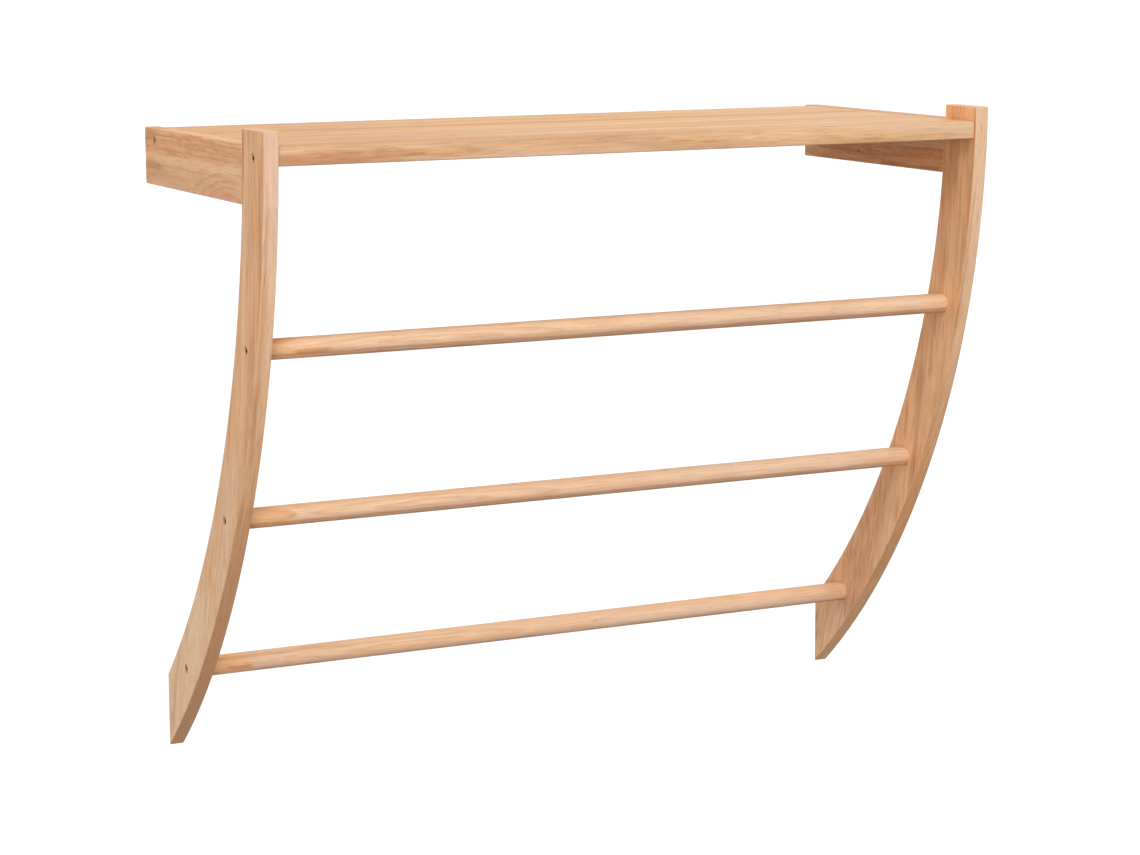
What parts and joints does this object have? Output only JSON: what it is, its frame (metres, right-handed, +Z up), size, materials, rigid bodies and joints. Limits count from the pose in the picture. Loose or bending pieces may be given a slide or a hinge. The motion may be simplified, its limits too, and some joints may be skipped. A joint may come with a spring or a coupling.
{
  "type": "wooden towel rack",
  "caption": "Wall-mounted wooden towel rack: a shelf on two side arms, curved side posts and round towel bars between them.",
  "frame": {"origin": "on the wall plane, midway between the back ends of the two arms and at half their height", "axes": "+X along the rack to the right as seen from the front, +Y into the wall, +Z up"},
  "size_m": [0.7, 0.2999, 0.5745],
  "materials": {
    "board_wood": "pale warm hardwood, sanded and satin oiled",
    "bar_wood": "pale warm hardwood, turned and satin oiled",
    "dowel_wood": "plain beech dowel",
    "screw_steel": "dark bronzed steel"
  },
  "bodies": {
    "root": {"shelf": "board_wood", "left_arm": "board_wood", "right_arm": "board_wood", "left_post": "board_wood", "right_post": "board_wood", "top_bar": "bar_wood", "middle_bar": "bar_wood", "bottom_bar": "bar_wood", "left_arm_dowel_upper": "dowel_wood", "left_arm_dowel_lower": "dowel_wood", "right_arm_dowel_upper": "dowel_wood", "right_arm_dowel_lower": "dowel_wood", "left_shelf_screw_front": "screw_steel", "left_shelf_screw_rear": "screw_steel", "right_shelf_screw_front": "screw_steel", "right_shelf_screw_rear": "screw_steel", "left_top_bar_screw": "screw_steel", "left_middle_bar_screw": "screw_steel", "left_bottom_bar_screw": "screw_steel", "right_top_bar_screw": "screw_steel", "right_middle_bar_screw": "screw_steel", "right_bottom_bar_screw": "screw_steel"}
  },
  "joints": []
}
